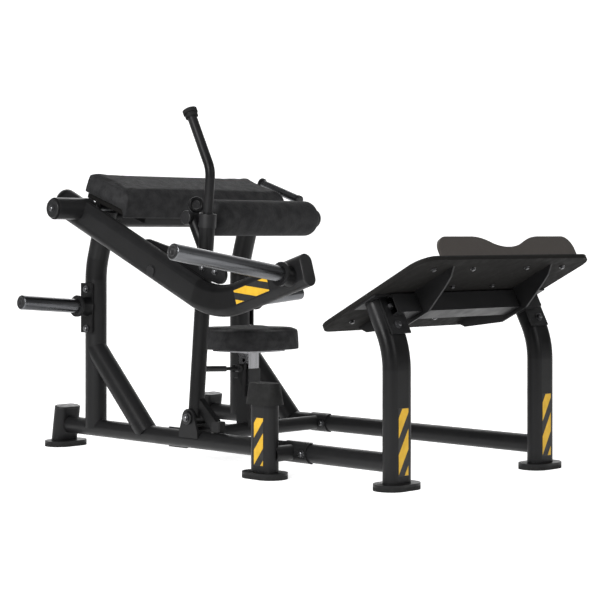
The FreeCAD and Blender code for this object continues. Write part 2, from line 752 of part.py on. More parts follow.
near_sleeve_space = cylinder("near_sleeve_space", "rail_radius + saddle_thickness", 2000,
                             facing(Vector(-1000, -dim.rail_side, dim.rail_height), X_AXIS))
far_sleeve_space = cylinder("far_sleeve_space", "rail_radius + saddle_thickness", 2000,
                            facing(Vector(-1000, dim.rail_side, dim.rail_height), X_AXIS))
node("bumper_post", fuse("bumper_post", post_tube,
                         cut("bumper_stub", stub_tube, post_space, near_sleeve_space)))

cross_start = Vector(seat_cross, -dim.rail_side, dim.rail_height)
cross_tube = pad("seat_cross_blank", ring("cross_radius", "tube_wall"), "2 * rail_side",
                 facing(cross_start, Y_AXIS))
node("seat_cross_tube", cut("seat_cross_tube", cross_tube, near_sleeve_space,
                            far_sleeve_space))

reach = dim.rail_radius + dim.saddle_thickness
for station, side, outward in ((dim.stub_station + 58, -1, -1), (seat_cross + 42, -1, 1),
                               (seat_cross + 42, 1, -1)):
    spot = Vector(station, side * dim.rail_side + outward * reach, dim.rail_height)
    frame_bolts.append(hex_bolt("saddle_bolt", 10.0, 7, facing(spot, Y_AXIS * outward)))


bumper_body = doc.addObject("PartDesign::Body", "rubber_bumper")
bumper_sections = []
for level, (length, width) in ((dim.bumper_skirt, (134.0, 84.0)), (dim.bumper_top, (112.0, 66.0))):
    plane = bumper_body.newObject("PartDesign::Plane", "bumper_level")
    origin_plane = next(f for f in bumper_body.Origin.OriginFeatures if f.Role == "XY_Plane")
    plane.AttachmentSupport = [(origin_plane, "")]
    plane.MapMode = "FlatFace"
    plane.AttachmentOffset = Placement(Vector(0, 0, level), Rotation())
    section = bumper_body.newObject("Sketcher::SketchObject", "bumper_section")
    section.AttachmentSupport = [(plane, "")]
    section.MapMode = "FlatFace"
    draw_oval(section, length, width, False)
    bumper_sections.append(section)
doc.recompute()
loft = bumper_body.newObject("PartDesign::AdditiveLoft", "bumper_loft")
loft.Profile = (bumper_sections[0], [""])
loft.Sections = [(bumper_sections[1], [""])]
loft.Ruled = True
bumper_body.Placement = Placement(Vector(dim.bumper_station, dim.bumper_side, 0), Rotation())
bumper_body.recompute(True)
post_below = pad("bumper_socket", oval("oval_length", "oval_width"),
                 "bumper_post_top - pad_thickness - foot_plate_thickness",
                 facing(bumper_foot, Z_AXIS, X_AXIS))
node("rubber_bumper", cut("rubber_bumper_cut", bumper_body, post_below))


# ---- seat ------------------------------------------------------------------------------

seat_foot = Vector(dim.seat_station, 0, dim.rail_height)
base_tube = pad("seat_base_blank", square_ring(dim.seat_tube_side, dim.tube_wall),
                "seat_tube_top - rail_height", facing(seat_foot, Z_AXIS, X_AXIS))
cross_space = cylinder("cross_space", "cross_radius", 400,
                       facing(Vector(seat_cross, -200, dim.rail_height), Y_AXIS))
below_cross = box("seat_base_trim", 200, 200, 60,
                  facing(seat_foot - Z_AXIS * 48, Z_AXIS, X_AXIS))
node("seat_base_tube", cut("seat_base_tube", base_tube, cross_space, below_cross))

sleeve_bore = dim.post_side + 2 * dim.post_clearance
sleeve_inside = dim.seat_tube_side - 2 * dim.tube_wall
sleeve_upper = pad("sleeve_upper", square_ring(dim.seat_tube_side - 4,
                                               (dim.seat_tube_side - 4 - sleeve_bore) / 2),
                   "sleeve_top - seat_tube_top", facing(seat_foot + Z_AXIS * (
                       dim.seat_tube_top - dim.rail_height), Z_AXIS, X_AXIS))
sleeve_lower = pad("sleeve_lower", square_ring(sleeve_inside, (sleeve_inside - sleeve_bore) / 2),
                   90, facing(seat_foot + Z_AXIS * (dim.seat_tube_top - dim.rail_height - 90),
                              Z_AXIS, X_AXIS))
node("seat_guide_sleeve", fuse("seat_guide_sleeve", sleeve_upper, sleeve_lower))

post_foot = seat_foot + Z_AXIS * 50
plate_depth = 6.0
post_run = dim.seat_bottom - plate_depth - post_foot.z
post_bar = pad("seat_post_bar", square_ring(dim.post_side, dim.tube_wall), post_run,
               facing(post_foot, Z_AXIS, X_AXIS))
holes = [cylinder("post_hole", 6, 80, facing(Vector(dim.seat_station, -60, level), Y_AXIS))
         for level in (150, 190, 230, 322)]
seat_plate = box("seat_plate", 180, 180, plate_depth,
                 facing(Vector(dim.seat_station, 0, dim.seat_bottom - plate_depth), Z_AXIS,
                        X_AXIS))
node("seat_post", fuse("seat_post", cut("seat_post_tube", post_bar, *holes), seat_plate))

seat_place = facing(Vector(dim.seat_station, 0, dim.seat_bottom), Z_AXIS, X_AXIS)
seat_blank = box("seat_blank", "seat_side", "seat_side", "seat_top - seat_bottom", seat_place)


def is_upright(edge):
    ends = [corner.Point for corner in edge.Vertexes]
    return abs((ends[1] - ends[0]).normalize().dot(Z_AXIS)) > 0.99


seat_round = rounded("seat_round", seat_blank, dim.seat_corner, is_upright)
node("seat_cushion", rounded("seat_cushion", seat_round, 12.0,
                             on_plane(seat_place, dim.seat_top - dim.seat_bottom)))

# The adjusting lever turns on a pin beside the sleeve and pulls the locking pin.
lever_pin = Vector(dim.seat_station + 4, -dim.seat_tube_side / 2 - 27, 294)
mount_plate = box("seat_lever_plate", 34, 12, 112,
                  facing(Vector(lever_pin.x, -dim.seat_tube_side / 2 - 6, 196), Z_AXIS, X_AXIS))
mount_lug = box("seat_lever_lug", 10, 40, 24,
                facing(lever_pin + Vector(-12, 8, -12), Z_AXIS, X_AXIS))
mount_pin = cylinder("seat_lever_pin", "lever_pin_radius", 24,
                     facing(lever_pin - X_AXIS * 8, X_AXIS))
plate_foot = box("seat_lever_foot", 26, 12, 24,
                 facing(Vector(lever_pin.x - 26, -dim.seat_tube_side / 2 - 6, 234), Z_AXIS,
                        X_AXIS))
node("seat_lever_mount", fuse("seat_lever_mount", mount_plate, mount_lug, mount_pin,
                              plate_foot))
arm_line = Vector(-0.28, -1, 0.03).normalize()
arm_start = lever_pin + X_AXIS * 4
hub_bar = cylinder("seat_lever_hub", 12, 20, facing(lever_pin - X_AXIS * 6.5, X_AXIS))
arm_bar = cylinder("seat_lever_arm", 6, 128, facing(arm_start, arm_line))
pin_gap = cylinder("seat_lever_gap", "lever_pin_radius + running_gap", 60,
                   facing(lever_pin - X_AXIS * 30, X_AXIS))
node("seat_lever", cut("seat_lever", fuse("seat_lever_weld", hub_bar, arm_bar), pin_gap))
grip_place = facing(arm_start + arm_line * 50, arm_line)
grip_tube = cylinder("seat_lever_grip_bar", 10, 84, grip_place)
arm_space = cylinder("seat_lever_arm_space", 6, 78, grip_place)
node("seat_lever_grip", rounded("seat_lever_grip", cut("seat_grip_blank", grip_tube, arm_space),
                                4.0, on_plane(grip_place, 84.0)))


# ---- back pad --------------------------------------------------------------------------

pad_along = tilted(-dim.pad_tilt)
pad_up = tilted(90 - dim.pad_tilt)
pad_corner = Vector(dim.pad_rear, 0, dim.pad_rear_top)


def pad_place(along, across, above):
    """Placement in the back pad's frame: local X down the slope, local Y out of the pad."""
    base = pad_corner + pad_along * along + Y_AXIS * across + pad_up * above
    return Placement(base, Rotation(pad_along, pad_up, -Y_AXIS, "ZXY"))


def pad_outline(sketch):
    """Side view of the cushion, with a lip that hangs over the board's front edge."""
    depth, thick = dim.pad_depth, dim.pad_cushion_thickness
    lip, nose, heel = 20.0, 42.0, 14.0
    turn = math.sin(math.pi / 4)
    draw_outline(sketch, [
        Vector(depth - nose, 0, 0),
        (Vector(depth - nose * (1 - turn), -nose * (1 - turn), 0), Vector(depth, -nose, 0)),
        Vector(depth, -thick - 16, 0),
        (Vector(depth - 10 * (1 - turn), -thick - 16 - 10 * turn, 0),
         Vector(depth - 10, -thick - 26, 0)),
        Vector(depth - lip, -thick - 26, 0), Vector(depth - lip, -thick, 0),
        Vector(0, -thick, 0), Vector(0, -heel, 0),
        (Vector(heel * (1 - turn), -heel * (1 - turn), 0), Vector(heel, 0, 0))])


node("back_pad", pad("back_pad", pad_outline, "2 * pad_half_width",
                     pad_place(0, dim.pad_side, 0),
                     both_ways=True))

board_run = dim.pad_depth - 20.0 - 12.0


def plank(length, thickness):
    def draw(sketch):
        draw_outline(sketch, [Vector(0, 0, 0), Vector(length, 0, 0),
                              Vector(length, -thickness, 0), Vector(0, -thickness, 0)])
    return draw


node("back_pad_board", pad("back_pad_board", plank(board_run - 0.5, dim.pad_board_thickness),
                           "2 * (pad_half_width - 16)",
                           pad_place(12, dim.pad_side, -dim.pad_cushion_thickness),
                           both_ways=True))

board_face = -dim.pad_cushion_thickness - dim.pad_board_thickness
cross_tube_space = cylinder("top_tube_space", "hub_radius", 1000,
                            facing(Vector(dim.top_tube_station, -500, dim.top_tube_height),
                                   Y_AXIS))
pad_brackets = []
for across in (-270.0, 270.0):
    web = pad("pad_bracket_web", plank(176, 38), 10, pad_place(16, across, board_face),
              both_ways=True)
    flange = pad("pad_bracket_flange", plank(176, 6), 60, pad_place(16, across, board_face),
                 both_ways=True)
    pad_brackets.append(cut("pad_bracket", fuse("pad_bracket_weld", web, flange),
                            cross_tube_space))
    for along in (20, 172):
        spot = pad_place(along, across + 20, board_face - 6).Base
        frame_bolts.append(hex_bolt("pad_bolt", 7.0, 5, facing(spot, -pad_up, pad_along)))

grip_side = dim.grip_side
grip_rear = pad_place(8, grip_side, -24).Base
node("grip_bar", cylinder("grip_bar", 16, 200, facing(grip_rear, pad_along)))
tip = cylinder("grip_tip_bar", 17.5, 16, facing(grip_rear + pad_along * 200, pad_along))
rear_disc = cylinder("grip_rear_disc", 21, 8, facing(grip_rear - pad_along * 8, pad_along))
node("grip_ends", group("grip_ends", [
    rounded("grip_tip", tip, 5.0, on_plane(tip.Placement, 16.0)), rear_disc]))
straps = []
strap_root = 305.0
for along in (20.0, 178.0):
    arm = pad("grip_strap_arm", plank(24, 5), grip_side - strap_root + 5,
              pad_place(along, (grip_side + strap_root) / 2, board_face), both_ways=True)
    ear = pad("grip_strap_ear", plank(24, -board_face - 24), 5,
              pad_place(along, grip_side, -24), both_ways=True)
    grip_space = cylinder("grip_space", 16, 260, facing(grip_rear - pad_along * 30,
                                                          pad_along))
    straps.append(cut("grip_strap", fuse("grip_strap_weld", arm, ear), grip_space))
node("pad_brackets", group("pad_brackets", pad_brackets + straps))


# ---- main pivot ------------------------------------------------------------------------

pivot = Vector(dim.pivot_station, 0, dim.pivot_height)


def on_pivot(y):
    return pivot + Y_AXIS * y


tube_end = -dim.rail_side - dim.upright_radius
shaft_disc = cylinder("pivot_disc", "pivot_boss_radius", 6, facing(on_pivot(tube_end), -Y_AXIS))
shaft_bar = cylinder("pivot_bar", "pivot_radius", tube_end - dim.hub_outer + 1,
                     facing(on_pivot(tube_end), -Y_AXIS))
node("pivot_shaft", fuse("pivot_shaft", pivot_bosses[0], shaft_disc, shaft_bar))

prop_pivot = Vector(dim.prop_station, -dim.rail_side, dim.prop_height)
ear_gap = dim.carriage_radius + 1.0
ear_thickness = 8.0
ear_outer = ear_gap + ear_thickness
pivot_seat = facing(on_pivot(dim.hub_outer - 1), -Y_AXIS)
prop_seat = facing(prop_pivot - Y_AXIS * ear_outer, -Y_AXIS)
caps = []
pivot_bolts = []
for seat, radius in ((pivot_seat, dim.cap_radius), (prop_seat, 22.0)):
    disc = cylinder("pivot_cap_disc", radius, 9, seat)
    caps.append(rounded("pivot_cap", disc, 3.0, on_plane(seat, 9.0)))
    head_seat = seat.multiply(Placement(Vector(0, 0, 9), Rotation()))
    pivot_bolts.append(hex_bolt("pivot_bolt", 10.0, 5, head_seat))
node("pivot_caps", group("pivot_caps", caps))


# ---- weight lever ----------------------------------------------------------------------

long_run = tilted(-dim.lever_fall)
long_up = tilted(90 - dim.lever_fall)
lever_axis_foot = on_pivot(dim.lever_side) - long_up * dim.lever_drop
lever_tail_end = lever_axis_foot - long_run * dim.lever_tail
lever_turn = "lever_fall + lever_rise"
beam = bent("lever_tube", oval("lever_depth", "lever_width", False, "tube_wall"),
            "lever_tail + lever_long_run", "lever_bend_radius", lever_turn,
            "lever_short_run", facing(lever_tail_end, long_run, long_up))


def half_section(sketch):
    """Upper half of the lever's flat oval, from its centre line outwards."""
    half = dim.lever_width / 2
    reach_out = dim.lever_depth / 2
    draw_outline(sketch, [Vector(0, -half, 0), Vector(reach_out - half, -half, 0),
                          (Vector(reach_out, 0, 0), Vector(reach_out - half, half, 0)),
                          Vector(0, half, 0)])


tail = doc.addObject("PartDesign::Body", "lever_tail_round")
tail_sketch = new_sketch(tail, "XY_Plane")
half_section(tail_sketch)
turned = tail.newObject("PartDesign::Revolution", "lever_tail_turned")
turned.Profile = tail_sketch
turned.ReferenceAxis = (tail_sketch, ["V_Axis"])
turned.Angle = 180
turned.Midplane = True
tail.Placement = Placement(lever_tail_end, Rotation(-long_run, Y_AXIS, -long_run.cross(Y_AXIS),
                                                    "ZXY"))
tail.recompute(True)
hub_space = cylinder("hub_space", "hub_radius", 200, facing(on_pivot(-380), -Y_AXIS))
node("lever_beam", cut("lever_beam", fuse("lever_weld", beam, tail), hub_space))

node("lever_hub", pad("lever_hub", ring("hub_radius", "hub_radius - bearing_radius"),
                      "hub_inner - hub_outer", facing(on_pivot(dim.hub_inner), -Y_AXIS)))
bearings = [pad("lever_bearing", ring("bearing_radius",
                                      "bearing_radius - pivot_radius - running_gap"),
                "bearing_width", facing(on_pivot(y), -Y_AXIS))
            for y in (dim.hub_inner - 3, dim.hub_outer + 3 + dim.bearing_width)]
node("lever_bearings", group("lever_bearings", bearings))

short_run = tilted(dim.lever_rise)
short_up = tilted(90 + dim.lever_rise)
bend_start = lever_axis_foot + long_run * dim.lever_long_run
bend_centre = bend_start + long_up * dim.lever_bend_radius
bend_end = bend_centre - short_up * dim.lever_bend_radius
lever_front = bend_end + short_run * dim.lever_short_run
front_seat = facing(lever_front, short_run, short_up)
front_blank = pad("front_cap_blank", oval("lever_depth", "lever_width"), "end_cap_thickness",
                  front_seat)
node("lever_front_cap", rounded("lever_front_cap", front_blank, 4.0,
                                on_plane(front_seat, dim.end_cap_thickness)))


def horn(label, root, direction, length):
    """Tapered boss with a stop collar, and the plate sleeve beyond it."""
    boss = cone(label + "_boss", "horn_collar_radius - 3", "horn_radius + 3",
                "horn_cone_length", facing(root, direction))
    collar_foot = root + direction * dim.horn_cone_length
    collar = cylinder(label + "_collar", "horn_collar_radius", "horn_collar_thickness",
                      facing(collar_foot, direction))
    sleeve_foot = collar_foot + direction * dim.horn_collar_thickness
    sleeve = pad(label + "_sleeve", ring("horn_radius"), length, facing(sleeve_foot, direction))
    tip_plane = on_plane(sleeve.Placement, getattr(dim, length))
    return fuse(label + "_root", boss, collar), rounded(label, sleeve, 3.0, tip_plane)


horn_direction = Vector(0, -math.cos(math.radians(dim.horn_rise)),
                        math.sin(math.radians(dim.horn_rise)))
lever_face = dim.lever_side - dim.lever_width / 2
horn_root = Vector(dim.horn_station, lever_face, dim.horn_root_height) - horn_direction * 8
root_piece, sleeve_piece = horn("load_horn", horn_root, horn_direction, "horn_length")
lever_space = box("lever_space", 400, 100, 300,
                  facing(Vector(dim.horn_station, lever_face + 50, 500), Z_AXIS, X_AXIS))
node("load_horn_root", cut("load_horn_root", root_piece, lever_space))
node("load_horn", sleeve_piece)

storage_roots = []
storage_horns = []
for side in (-1, 1):
    rise = math.radians(dim.storage_rise)
    direction = Vector(0, side * math.cos(rise), math.sin(rise))
    face = side * (dim.rail_side + dim.upright_radius)
    plate = box("storage_plate", 62, 6, 176,
                facing(Vector(dim.upright_station, face + side * 3, 417), Z_AXIS, X_AXIS))
    root = Vector(dim.upright_station, face + side * 6, dim.storage_height)
    root_piece, sleeve_piece = horn("storage_horn", root - direction * 4, direction,
                                    "storage_length")
    behind = box("storage_trim", 200, 60, 200,
                 facing(Vector(dim.upright_station, face - side * 30, 400), Z_AXIS, X_AXIS))
    root_cut = cut("storage_root_cut", root_piece, behind)
    storage_roots.append(fuse("storage_root", root_cut, plate))
    storage_horns.append(sleeve_piece)
    for level in (431, 571):
        spot = Vector(dim.upright_station, face + side * 6, level)
        pivot_bolts.append(hex_bolt("storage_bolt", 10.0, 6, facing(spot, Y_AXIS * side)))
node("storage_horn_roots", group("storage_horn_roots", storage_roots))
node("storage_horns", group("storage_horns", storage_horns))
node("frame_bolts", group("frame_bolts", frame_bolts + pivot_bolts))


# ---- roller carriage on the lever ------------------------------------------------------

inner_face = dim.lever_side + dim.lever_width / 2
plate_along = tilted(-dim.plate_fall)
plate_front = Vector(100, inner_face, 634)
plate_centre = plate_front - plate_along * (dim.plate_span / 2)
node("carriage_plate", pad("carriage_plate", oval("plate_span + plate_width", "plate_width"),
                           "plate_thickness", facing(plate_centre, Y_AXIS, plate_along)))

post_direction = tilted(90 - dim.carriage_lean)


def on_post(height):
    """Point on the common centre line of the prop and the carriage post."""
    run = (height - dim.prop_height) / post_direction.z
    return prop_pivot + post_direction * run


post_low, post_high = on_post(dim.carriage_foot), on_post(dim.carriage_top)
upper_tube = pad("carriage_tube", ring("carriage_radius", "tube_wall"),
                 (post_high - post_low).Length, facing(post_low, post_direction))
foot_disc = cylinder("carriage_disc", "carriage_radius", 6, facing(post_low, post_direction))
roller_axis = Vector(dim.roller_station, -dim.rail_side, dim.roller_height)
strut_foot = on_post(704)
strut_line = roller_axis - strut_foot
post_space = cylinder("carriage_post_space", "carriage_radius", 400,
                      facing(on_post(500), post_direction))
strut = cut("carriage_strut", cylinder("strut_bar", "strut_radius", strut_line.Length,
                                       facing(strut_foot, strut_line)), post_space)
boss_near, boss_far = -374.0, -296.0
boss = cylinder("roller_boss_bar", "boss_radius", boss_far - boss_near,
                facing(Vector(roller_axis.x, boss_near, roller_axis.z), Y_AXIS))
shaft_space = cylinder("roller_shaft_space", "roller_shaft_radius", 200,
                       facing(Vector(roller_axis.x, boss_near + 6, roller_axis.z), Y_AXIS))
plate_face = inner_face + dim.plate_thickness
block = box("carriage_block", 58, -dim.rail_side - plate_face, 54,
            facing(Vector(on_post(645).x, (plate_face - dim.rail_side) / 2, 658), Z_AXIS,
                   X_AXIS))
block_piece = cut("carriage_block_cut", block, post_space)
eye_centre = Vector(roller_axis.x, -336, roller_axis.z + dim.boss_radius + 25)
eye = doc.addObject("Part::Torus", "strap_eye")
bind(eye, Radius1=21, Radius2=7)
eye.Placement = facing(eye_centre, Vector(1, -0.4, 0))
carriage = fuse("carriage_weld", upper_tube, foot_disc, strut, boss, block_piece, eye)
node("roller_carriage", cut("roller_carriage", carriage, shaft_space))

stop_seat = facing(Vector(roller_axis.x, boss_near, roller_axis.z), -Y_AXIS)
stop_blank = cylinder("boss_stop_blank", 24, 12, stop_seat)
node("roller_boss_cap", rounded("roller_boss_cap", stop_blank, 4.0, on_plane(stop_seat, 12.0)))
shaft_end = dim.roller_far + 8
node("roller_shaft", cylinder("roller_shaft", "roller_shaft_radius",
                              shaft_end - boss_near - 6,
                              facing(Vector(roller_axis.x, boss_near + 6, roller_axis.z),
                                     Y_AXIS)))

collar_low = on_post(dim.carriage_top)
collar_length = 47.0
handle_foot = collar_low + post_direction * 2
collar_blank = cylinder("collar_blank", 30, collar_length, facing(collar_low, post_direction))
handle_space = cylinder("handle_space", "handle_radius", 100,
                        facing(handle_foot, post_direction))
collar_round = rounded("collar_round", collar_blank, 3.0,
                       on_plane(collar_blank.Placement, collar_length))
strut_space = cylinder("strut_space", "strut_radius + 0.2", strut_line.Length,
                       facing(strut_foot, strut_line))
node("handle_collar", cut("handle_collar", collar_round, handle_space, strut_space))
handle_side = Vector(-post_direction.z, 0, post_direction.x)
node("handle", bent("handle", ring("handle_radius", "tube_wall"),
                    "handle_straight + %r" % (collar_length - 2), "handle_bend_radius",
                    "handle_turn", "handle_top_run",
                    facing(handle_foot, post_direction, handle_side)))
turn = math.radians(dim.handle_turn)
straight_end = handle_foot + post_direction * (dim.handle_straight + collar_length - 2)
radius = dim.handle_bend_radius
arc_end = (straight_end + handle_side * (radius * (1 - math.cos(turn)))
           + post_direction * (radius * math.sin(turn)))
top_direction = (post_direction * math.cos(turn) + handle_side * math.sin(turn)).normalize()
handle_end = arc_end + top_direction * dim.handle_top_run
knob_foot = handle_end - top_direction * 22
knob_parts = [cylinder("knob_lower", 22, 8, facing(knob_foot + top_direction * 2,
                                                   top_direction)),
              cylinder("knob_waist", 20, 26, facing(knob_foot, top_direction)),
              cylinder("knob_upper", 25, 14, facing(knob_foot + top_direction * 16,
                                                    top_direction))]
knob_space = cylinder("knob_space", "handle_radius", 22, facing(knob_foot, top_direction))
node("handle_knob", cut("handle_knob", fuse("knob_blank", *knob_parts), knob_space))

lever_bolts = []
for spot in (Vector(21, plate_face, 655), Vector(82, plate_face, 644)):
    near_spot = spot - Y_AXIS * dim.plate_thickness
    lever_bolts.append(hex_bolt("carriage_bolt", 9.0, 6, facing(near_spot, -Y_AXIS)))
node("carriage_bolts", group("carriage_bolts", lever_bolts))
plug_seat = facing(Vector(-178, lever_face, 643), -Y_AXIS)
plug_disc = cylinder("lever_plug_disc", 18, 5, plug_seat)
node("lever_plug", rounded("lever_plug", plug_disc, 2.0, on_plane(plug_seat, 5.0)))


# ---- roller ----------------------------------------------------------------------------


def on_roller(y):
    return facing(Vector(dim.roller_station, y, dim.roller_height), Y_AXIS)


cushion_bar = pad("cushion_bar", ring("roller_radius", "roller_radius - roller_core_radius"),
                  "roller_far - roller_near", on_roller(dim.roller_near))


def outer_rim(edge):
    return abs(edge.Length - 2 * math.pi * dim.roller_radius) < 0.1


node("roller_cushion", rounded("roller_cushion", cushion_bar, 26.0, outer_rim))
node("roller_core", pad("roller_core", ring("roller_core_radius", "tube_wall"),
                        "roller_far - roller_near", on_roller(dim.roller_near)))
bush_wall = "roller_core_radius - tube_wall - roller_shaft_radius - running_gap"
bushes = [pad("roller_bush", ring("roller_core_radius - tube_wall", bush_wall), 24,
              on_roller(y)) for y in (dim.roller_near, dim.roller_far - 24)]
node("roller_bushes", group("roller_bushes", bushes))
cap_seat = on_roller(dim.roller_far)
cap_disc = cylinder("roller_cap_disc", 33, 30, cap_seat)
cap_space = cylinder("roller_cap_space", "roller_shaft_radius + 1", 22, cap_seat)
node("roller_end_cap", rounded("roller_end_cap", cut("roller_cap_blank", cap_disc, cap_space),
                               8.0, on_plane(cap_seat, 30.0)))


# ---- prop ------------------------------------------------------------------------------


def ear_outline(sketch):
    """Ear of the prop bracket: a round top on a wider foot."""
    foot, top, drop = 46.0, 30.0, dim.prop_height - dim.rail_height - 8
    draw_outline(sketch, [Vector(-foot, -drop, 0), Vector(foot, -drop, 0),
                          Vector(foot, -drop + 20, 0), Vector(top, 0, 0),
                          (Vector(0, top, 0), Vector(-top, 0, 0)),
                          Vector(-foot, -drop + 20, 0)])


ears = []
rail_space = rail_envelope(-1, "prop_bracket")
for outward in (-1, 1):
    start = prop_pivot + Y_AXIS * outward * (ear_gap + ear_thickness / 2)
    place = Placement(start, Rotation(X_AXIS, Z_AXIS, -Y_AXIS, "ZXY"))
    ears.append(pad("prop_ear", ear_outline, ear_thickness, place, both_ways=True))
pin_space = cylinder("prop_pin_space", "prop_pin_radius", 200,
                     facing(prop_pivot - Y_AXIS * 100, Y_AXIS))
saddle_seat = Vector(dim.prop_station, -dim.rail_side, dim.rail_height)
base_plate = box("prop_base", 92, 2 * ear_gap, 14,
                 facing(saddle_seat + Z_AXIS * 22, Z_AXIS, X_AXIS))
node("prop_bracket", cut("prop_bracket", fuse("prop_bracket_weld", base_plate, *ears),
                         rail_space, pin_space))
node("prop_pin", cylinder("prop_pin", "prop_pin_radius", 2 * ear_outer,
                          facing(prop_pivot - Y_AXIS * ear_outer, Y_AXIS)))

prop_tube = pad("prop_tube", ring("carriage_radius", "tube_wall"), "prop_length",
                facing(prop_pivot, post_direction))
prop_boss = cylinder("prop_boss", 24, "2 * carriage_radius",
                     facing(prop_pivot - Y_AXIS * dim.carriage_radius, Y_AXIS))
top_disc = cylinder("prop_top_disc", "carriage_radius", 6,
                    facing(prop_pivot + post_direction * (dim.prop_length - 6),
                           post_direction))
foot_end = Vector(4, -dim.rail_side, 131)
foot_line = foot_end - on_post(214)
foot_bar = box("prop_foot_bar", 36, 24, foot_line.Length,
               facing(on_post(214), foot_line, Y_AXIS.cross(foot_line)))
foot_level = box("prop_foot_level", 34, 24, 34,
                 facing(foot_end + Vector(6, 0, -19), Z_AXIS, X_AXIS))
pin_gap = cylinder("prop_pin_gap", "prop_pin_radius + running_gap", 200,
                   facing(prop_pivot - Y_AXIS * 100, Y_AXIS))
prop_weld = fuse("prop_weld", prop_tube, prop_boss, top_disc, foot_bar, foot_level)
node("prop", cut("prop", prop_weld, pin_gap))
foot_cap = box("prop_foot_cap", 8, 24, 34,
               facing(foot_end + Vector(6 + 17 + 4, 0, -19), Z_AXIS, X_AXIS))
foot_rest = box("prop_foot_rest", 34, 24, 4,
                facing(foot_end + Vector(6, 0, -23), Z_AXIS, X_AXIS))
rest_seat = facing(prop_pivot + post_direction * dim.prop_length, post_direction)
rest_blank = cylinder("prop_rest_blank", "carriage_radius", "prop_pad_thickness", rest_seat)
node("prop_pads", group("prop_pads", [
    foot_cap, foot_rest,
    rounded("prop_rest", rest_blank, 4.0, on_plane(rest_seat, dim.prop_pad_thickness))]))


# ---- check and write -------------------------------------------------------------------

doc.recompute()
for thing in doc.Objects:
    if {"Invalid", "Error"} & set(thing.State):
        raise RuntimeError("failed object: %s %s" % (thing.Label, thing.State))
os.makedirs("parts", exist_ok=True)
for name, thing in nodes.items():
    shape = thing.Shape
    if shape.isNull() or not shape.isValid() or not shape.Solids:
        raise RuntimeError("bad shape: " + name)
    shape.exportStep("parts/%s.step" % name)
    print("%-22s solids %d volume %.0f" % (name, len(shape.Solids), shape.Volume))
print(len(nodes), "nodes")
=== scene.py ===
import json
import math

import bmesh
import bpy
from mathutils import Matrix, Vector


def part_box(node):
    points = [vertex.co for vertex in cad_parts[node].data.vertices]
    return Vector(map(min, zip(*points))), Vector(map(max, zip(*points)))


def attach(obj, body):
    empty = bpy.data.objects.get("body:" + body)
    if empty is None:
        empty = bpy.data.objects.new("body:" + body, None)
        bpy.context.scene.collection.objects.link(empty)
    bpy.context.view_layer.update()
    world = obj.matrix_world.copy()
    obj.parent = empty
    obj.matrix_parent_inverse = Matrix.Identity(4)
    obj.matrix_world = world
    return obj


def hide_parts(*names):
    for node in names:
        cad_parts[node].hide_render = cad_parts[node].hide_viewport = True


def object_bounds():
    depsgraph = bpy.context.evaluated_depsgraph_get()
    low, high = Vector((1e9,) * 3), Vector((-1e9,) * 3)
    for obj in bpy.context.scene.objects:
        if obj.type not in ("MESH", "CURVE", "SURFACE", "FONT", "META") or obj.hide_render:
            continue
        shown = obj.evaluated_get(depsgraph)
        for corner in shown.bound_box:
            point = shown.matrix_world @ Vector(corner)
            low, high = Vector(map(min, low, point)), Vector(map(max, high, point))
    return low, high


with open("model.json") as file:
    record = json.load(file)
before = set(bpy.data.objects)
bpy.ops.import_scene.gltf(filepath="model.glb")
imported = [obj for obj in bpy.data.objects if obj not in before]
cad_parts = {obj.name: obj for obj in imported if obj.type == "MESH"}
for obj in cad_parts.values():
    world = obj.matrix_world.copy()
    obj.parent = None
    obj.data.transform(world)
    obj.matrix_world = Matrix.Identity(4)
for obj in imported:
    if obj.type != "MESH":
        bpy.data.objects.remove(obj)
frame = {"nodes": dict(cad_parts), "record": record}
cad_low, cad_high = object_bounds()
scene = bpy.context.scene
nodes = frame["nodes"]


# ---- camera, light, floor ---------------------------------------------------------------

camera_data = bpy.data.cameras.new("camera")
camera = bpy.data.objects.new("camera", camera_data)
scene.collection.objects.link(camera)
camera.location = (4.404, -4.372, 0.766)
camera.rotation_euler = (math.radians(90), 0, math.radians(44.91))
camera_data.sensor_width = 36.0
camera_data.lens = 107.7
camera_data.shift_y = -0.1096
camera_data.clip_end = 60.0
scene.camera = camera


def floor_material():
    material = bpy.data.materials.new("studio_floor")
    material.use_nodes = True
    shader = material.node_tree.nodes["Principled BSDF"]
    shader.inputs["Base Color"].default_value = (0.9, 0.9, 0.9, 1)
    shader.inputs["Roughness"].default_value = 0.8
    shader.inputs["Specular IOR Level"].default_value = 0.1
    shader.inputs["Emission Color"].default_value = (1, 1, 1, 1)
    shader.inputs["Emission Strength"].default_value = 0.74
    return material


def make_floor():
    """Pale floor that curves up into a backdrop far behind the machine."""
    mesh = bmesh.new()
    profile = [(-14.0, 0.0)]
    for step in range(9):
        turn = math.radians(step * 90 / 8)
        profile.append((9.0 + 3.0 * math.sin(turn), 3.0 - 3.0 * math.cos(turn)))
    profile.append((12.0, 12.0))
    rows = []
    for across in (-16.0, 16.0):
        rows.append([mesh.verts.new((across, along, height)) for along, height in profile])
    for step in range(len(profile) - 1):
        mesh.faces.new((rows[0][step], rows[1][step], rows[1][step + 1], rows[0][step + 1]))
    data = bpy.data.meshes.new("studio_floor")
    mesh.to_mesh(data)
    mesh.free()
    for face in data.polygons:
        face.use_smooth = True
    floor = bpy.data.objects.new("studio_floor", data)
    floor.rotation_euler = (0, 0, math.radians(44.91))
    floor.data.materials.append(floor_material())
    scene.collection.objects.link(floor)


make_floor()


def area_light(name, place, aim, size, power):
    data = bpy.data.lights.new(name, "AREA")
    data.shape = "DISK"
    data.size = size
    data.energy = power
    lamp = bpy.data.objects.new(name, data)
    lamp.location = place
    lamp.rotation_euler = (Vector(aim) - Vector(place)).to_track_quat("-Z", "Y").to_euler()
    scene.collection.objects.link(lamp)


